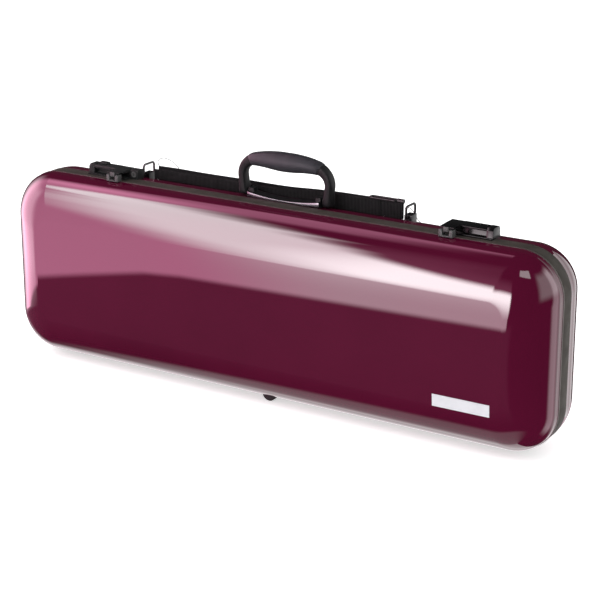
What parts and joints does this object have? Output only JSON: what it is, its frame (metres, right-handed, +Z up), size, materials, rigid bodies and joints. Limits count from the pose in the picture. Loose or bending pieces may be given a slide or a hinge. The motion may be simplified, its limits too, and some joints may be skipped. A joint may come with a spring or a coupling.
{
  "type": "violin case",
  "caption": "Oblong hard violin case with glossy shells, hinged lid, toggle latches, folding handle, shoulder strap and padded interior.",
  "frame": {"origin": "middle of the case's bounding box in X and Y, at floor level, with the case standing on its hinge side", "axes": "+X along the case towards its name plate end, +Y from the lid to the base's back, +Z up towards the handle"},
  "size_m": [0.7908, 0.1572, 0.3175],
  "materials": {
    "shell_gloss": "high gloss wine red moulded shell",
    "band_matt": "matt warm grey frame between the shells",
    "rim_edge": "lighter matt lip on the lid's open edge",
    "seal_rubber": "black rubber seal",
    "lining_plush": "short plush lining",
    "insert_plush": "padded plush insert",
    "webbing_black": "ribbed black webbing",
    "latch_black": "gloss black",
    "latch_grey": "matt dark grey, fine texture",
    "keeper_steel": "satin steel",
    "pin_steel": "plain steel",
    "handle_soft": "soft touch dark grey",
    "handle_plastic": "black moulding",
    "trim_chrome": "bright plated edge",
    "foot_plastic": "dark grey moulding",
    "foot_rubber": "black rubber",
    "badge_silver": "silver plate, blank",
    "black_steel": "black coated steel",
    "brass_case": "polished brass",
    "dial_white": "cream dial",
    "clear_glass": "clear",
    "fitting_black": "black moulding",
    "thread_grey": "clear grey nylon thread"
  },
  "bodies": {
    "base": {"base_shell": "shell_gloss", "base_lining": "lining_plush", "frame_band": "band_matt", "rim_seal": "seal_rubber", "hinge_base_leaves": "pin_steel", "hinge_pins": "pin_steel", "front_foot_left": "foot_plastic", "front_foot_right": "foot_plastic", "rear_feet": "foot_rubber", "back_studs": "foot_rubber", "latch_left_base": "latch_grey", "latch_right_base": "latch_black", "latch_left_pin": "pin_steel", "latch_right_pin": "pin_steel", "lock_housing": "latch_grey", "handle_base": "handle_plastic", "handle_trim_front": "trim_chrome", "handle_trim_rear": "trim_chrome", "handle_pins": "pin_steel", "strap_anchor_left": "black_steel", "strap_anchor_right": "black_steel", "carry_strap": "webbing_black", "snap_hook": "black_steel", "snap_swivel": "black_steel", "suspension_insert": "insert_plush", "box_lid_pin": "pin_steel", "neck_cradle": "insert_plush", "neck_strap": "lining_plush", "tag_thread_left": "thread_grey", "tag_thread_right": "thread_grey"},
    "lid": {"lid_shell": "shell_gloss", "lid_rim": "rim_edge", "lid_lining": "lining_plush", "hinge_lid_leaves": "pin_steel", "centre_foot": "foot_plastic", "name_plate": "badge_silver", "latch_left_keeper": "keeper_steel", "latch_right_keeper": "keeper_steel", "bow_tip_holder_upper": "lining_plush", "bow_tip_holder_lower": "lining_plush", "bow_post_upper": "fitting_black", "bow_post_lower": "fitting_black", "hygrometer_case": "brass_case", "hygrometer_dial": "dial_white", "hygrometer_glass": "clear_glass"},
    "handle": {"handle_leg_left": "handle_soft", "handle_leg_right": "handle_soft", "handle_grip": "handle_soft"},
    "latch_left": {"latch_left_lever": "latch_grey", "latch_left_hook": "keeper_steel"},
    "latch_right": {"latch_right_lever": "latch_black", "latch_right_hook": "keeper_steel"},
    "lock_slider": {"lock_slider": "latch_grey"},
    "lock_barrel": {"lock_barrel": "keeper_steel"},
    "box_lid": {"box_lid": "insert_plush", "box_lid_tab": "lining_plush"},
    "ring_left": {"strap_ring_left": "pin_steel"},
    "ring_right": {"strap_ring_right": "black_steel"},
    "bow_spinner_upper": {"bow_spinner_upper": "fitting_black"},
    "bow_spinner_lower": {"bow_spinner_lower": "fitting_black"}
  },
  "joints": [
    {"name": "lid_hinge", "type": "hinge", "parent": "base", "child": "lid", "pos_m": [0, -0.0223, 0.0062], "axis": [1, 0, 0], "range_deg": [0, 100]},
    {"name": "handle_fold", "type": "hinge", "parent": "base", "child": "handle", "pos_m": [0, 0.0076, 0.2635], "axis": [1, 0, 0], "range_deg": [0, 75]},
    {"name": "latch_left_lift", "type": "hinge", "parent": "base", "child": "latch_left", "pos_m": [-0.2445, 0.0041, 0.26], "axis": [-1, 0, 0], "range_deg": [0, 70]},
    {"name": "latch_right_lift", "type": "hinge", "parent": "base", "child": "latch_right", "pos_m": [0.2445, 0.0041, 0.26], "axis": [-1, 0, 0], "range_deg": [0, 70]},
    {"name": "lock_slide", "type": "slide", "parent": "latch_left", "child": "lock_slider", "axis": [1, 0, 0], "range_m": [0, 0.006]},
    {"name": "lock_turn", "type": "hinge", "parent": "base", "child": "lock_barrel", "pos_m": [-0.22825, -0.0034, 0.2615], "axis": [0, 1, 0], "range_deg": [0, 90]},
    {"name": "box_lid_hinge", "type": "hinge", "parent": "base", "child": "box_lid", "pos_m": [-0.12, 0.0016, 0.171], "axis": [1, 0, 0], "range_deg": [0, 90]},
    {"name": "ring_left_swing", "type": "hinge", "parent": "base", "child": "ring_left", "pos_m": [-0.227, 0.0266, 0.255], "axis": [0, -1, 0], "range_deg": [0, 60]},
    {"name": "ring_right_swing", "type": "hinge", "parent": "base", "child": "ring_right", "pos_m": [0.167, 0.0266, 0.255], "axis": [0, 1, 0], "range_deg": [0, 60]},
    {"name": "bow_spin_upper", "type": "hinge", "parent": "lid", "child": "bow_spinner_upper", "pos_m": [0.322, -0.0549, 0.179], "axis": [0, 1, 0], "range_deg": [0, 90]},
    {"name": "bow_spin_lower", "type": "hinge", "parent": "lid", "child": "bow_spinner_lower", "pos_m": [0.322, -0.0549, 0.083], "axis": [0, 1, 0], "range_deg": [0, 90]}
  ]
}
